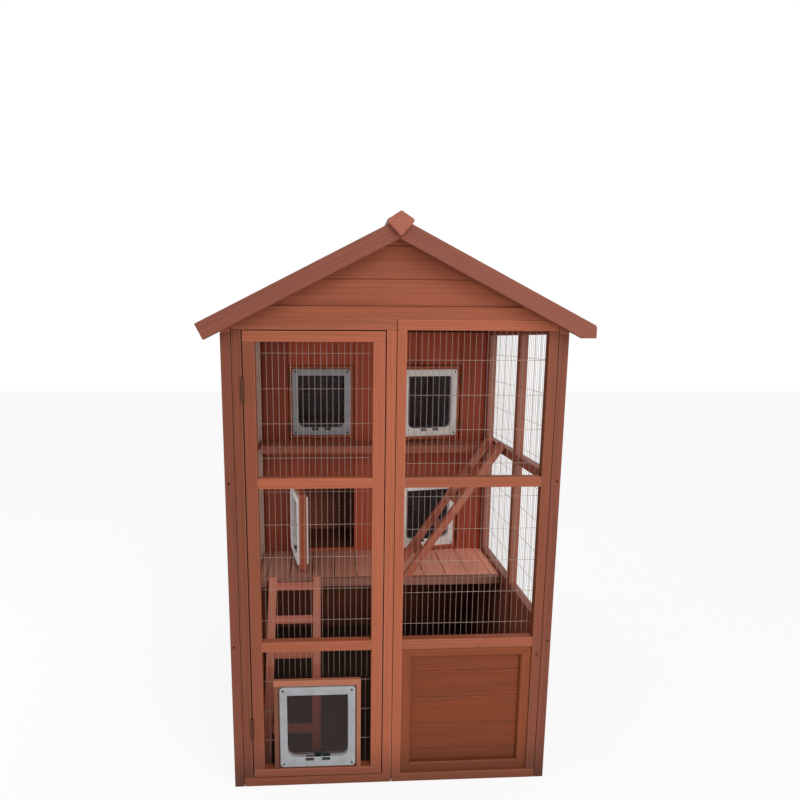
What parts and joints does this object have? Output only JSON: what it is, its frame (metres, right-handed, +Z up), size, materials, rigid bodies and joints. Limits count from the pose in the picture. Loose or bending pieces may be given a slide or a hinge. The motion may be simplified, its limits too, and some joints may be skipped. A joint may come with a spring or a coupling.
{
  "type": "outdoor cat house",
  "caption": "Gabled wooden cat house: wire-mesh run with hinged door, platform, shelf and ladders, in front of sleeping rooms with small doors and clear swinging cat flaps.",
  "frame": {"origin": "on the ground, under the middle of the house's outer box", "axes": "+X to the right seen from the front, +Y from the front to the rear, +Z up; the front with the main door faces -Y"},
  "size_m": [1.076, 1.226, 1.6798],
  "materials": {
    "wood_front": "stained and varnished fir, orange brown",
    "wood_side": "stained fir, red brown",
    "wood_dark": "stained boards, darker in the shade",
    "wood_step": "stained fir, worn lighter",
    "wood_light": "thin stain over pale wood",
    "wire": "galvanised welded wire",
    "hinge_metal": "dark bronze lacquer",
    "roof_felt": "grey green mineral roofing felt",
    "flap_plastic": "white moulded plastic",
    "clear_pane": "smoked clear plastic",
    "red_plastic": "red moulded plastic",
    "green_plastic": "green moulded plastic"
  },
  "bodies": {
    "root": {"front_left_frame": "wood_front", "front_right_frame": "wood_front", "front_right_mesh": "wire", "front_right_boards": "wood_dark", "front_right_moulding": "wood_front", "side_frame_left": "wood_side", "side_frame_right": "wood_side", "side_mesh_left": "wire", "side_mesh_right": "wire", "side_boards_left": "wood_side", "side_boards_right": "wood_side", "front_gable": "wood_front", "rear_gable": "wood_side", "rear_frame": "wood_side", "rear_boards": "wood_side", "roof_panel_left": "wood_light", "roof_panel_right": "wood_light", "roof_felt": "roof_felt", "rake_boards": "wood_front", "ridge_cap": "wood_front", "ridge_blocks": "wood_light", "room_wall": "wood_dark", "room_boxes": "wood_dark", "platform": "wood_step", "upper_shelf": "wood_step", "ladder_lower": "wood_step", "ladder_upper": "wood_step", "room_hinges": "hinge_metal", "main_hinges": "hinge_metal"},
    "main_door": {"main_door_frame": "wood_front", "main_door_mesh": "wire", "flap_surround": "wood_front", "main_door_hinges": "hinge_metal", "flap_main_frame": "flap_plastic"},
    "main_pane": {"flap_main_pane": "clear_pane"},
    "main_red_tab": {"flap_main_red": "red_plastic"},
    "main_green_tab": {"flap_main_green": "green_plastic"},
    "ul_door": {"door_ul": "wood_front", "flap_ul_frame": "flap_plastic"},
    "ul_pane": {"flap_ul_pane": "clear_pane"},
    "ul_red_tab": {"flap_ul_red": "red_plastic"},
    "ul_green_tab": {"flap_ul_green": "green_plastic"},
    "ur_door": {"door_ur": "wood_front", "flap_ur_frame": "flap_plastic"},
    "ur_pane": {"flap_ur_pane": "clear_pane"},
    "ur_red_tab": {"flap_ur_red": "red_plastic"},
    "ur_green_tab": {"flap_ur_green": "green_plastic"},
    "ml_door": {"door_ml": "wood_front", "flap_ml_frame": "flap_plastic"},
    "ml_pane": {"flap_ml_pane": "clear_pane"},
    "ml_red_tab": {"flap_ml_red": "red_plastic"},
    "ml_green_tab": {"flap_ml_green": "green_plastic"},
    "mr_door": {"door_mr": "wood_front", "flap_mr_frame": "flap_plastic"},
    "mr_pane": {"flap_mr_pane": "clear_pane"},
    "mr_red_tab": {"flap_mr_red": "red_plastic"},
    "mr_green_tab": {"flap_mr_green": "green_plastic"}
  },
  "joints": [
    {"name": "main_door_hinge", "type": "hinge", "parent": "root", "child": "main_door", "pos_m": [-0.4225, -0.5542, 0.7], "axis": [0, 0, -1], "range_deg": [0, 120]},
    {"name": "main_pane_swing", "type": "hinge", "parent": "main_door", "child": "main_pane", "pos_m": [-0.226, -0.534, 0.2925], "axis": [1, 0, 0], "range_deg": [-80, 80]},
    {"name": "main_red_slide", "type": "slide", "parent": "main_door", "child": "main_red_tab", "axis": [0, 0, 1], "range_m": [0, 0.006]},
    {"name": "main_green_slide", "type": "slide", "parent": "main_door", "child": "main_green_tab", "axis": [0, 0, 1], "range_m": [0, 0.006]},
    {"name": "ul_door_hinge", "type": "hinge", "parent": "root", "child": "ul_door", "pos_m": [-0.3445, 0.2158, 1.107], "axis": [0, 0, -1], "range_deg": [0, 100]},
    {"name": "ul_pane_swing", "type": "hinge", "parent": "ul_door", "child": "ul_pane", "pos_m": [-0.215, 0.2325, 1.207], "axis": [1, 0, 0], "range_deg": [-80, 80]},
    {"name": "ul_red_slide", "type": "slide", "parent": "ul_door", "child": "ul_red_tab", "axis": [0, 0, 1], "range_m": [0, 0.006]},
    {"name": "ul_green_slide", "type": "slide", "parent": "ul_door", "child": "ul_green_tab", "axis": [0, 0, 1], "range_m": [0, 0.006]},
    {"name": "ur_door_hinge", "type": "hinge", "parent": "root", "child": "ur_door", "pos_m": [0.3445, 0.2158, 1.107], "axis": [0, 0, 1], "range_deg": [-12, 88]},
    {"name": "ur_pane_swing", "type": "hinge", "parent": "ur_door", "child": "ur_pane", "pos_m": [0.21436, 0.20521, 1.207], "axis": [0.9781, 0.2079, 0], "range_deg": [-80, 80]},
    {"name": "ur_red_slide", "type": "slide", "parent": "ur_door", "child": "ur_red_tab", "axis": [0, 0, 1], "range_m": [0, 0.006]},
    {"name": "ur_green_slide", "type": "slide", "parent": "ur_door", "child": "ur_green_tab", "axis": [0, 0, 1], "range_m": [0, 0.006]},
    {"name": "ml_door_hinge", "type": "hinge", "parent": "root", "child": "ml_door", "pos_m": [-0.3445, 0.2158, 0.644], "axis": [0, 0, -1], "range_deg": [-80, 20]},
    {"name": "ml_pane_swing", "type": "hinge", "parent": "ml_door", "child": "ml_pane", "pos_m": [-0.30557, 0.09117, 0.744], "axis": [0.1736, -0.9848, 0], "range_deg": [-40, 80]},
    {"name": "ml_red_slide", "type": "slide", "parent": "ml_door", "child": "ml_red_tab", "axis": [0, 0, 1], "range_m": [0, 0.006]},
    {"name": "ml_green_slide", "type": "slide", "parent": "ml_door", "child": "ml_green_tab", "axis": [0, 0, 1], "range_m": [0, 0.006]},
    {"name": "mr_door_hinge", "type": "hinge", "parent": "root", "child": "mr_door", "pos_m": [0.3445, 0.2158, 0.644], "axis": [0, 0, 1], "range_deg": [-12, 12]},
    {"name": "mr_pane_swing", "type": "hinge", "parent": "mr_door", "child": "mr_pane", "pos_m": [0.21436, 0.20521, 0.744], "axis": [0.9781, 0.2079, 0], "range_deg": [-26, 80]},
    {"name": "mr_red_slide", "type": "slide", "parent": "mr_door", "child": "mr_red_tab", "axis": [0, 0, 1], "range_m": [0, 0.006]},
    {"name": "mr_green_slide", "type": "slide", "parent": "mr_door", "child": "mr_green_tab", "axis": [0, 0, 1], "range_m": [0, 0.006]}
  ]
}
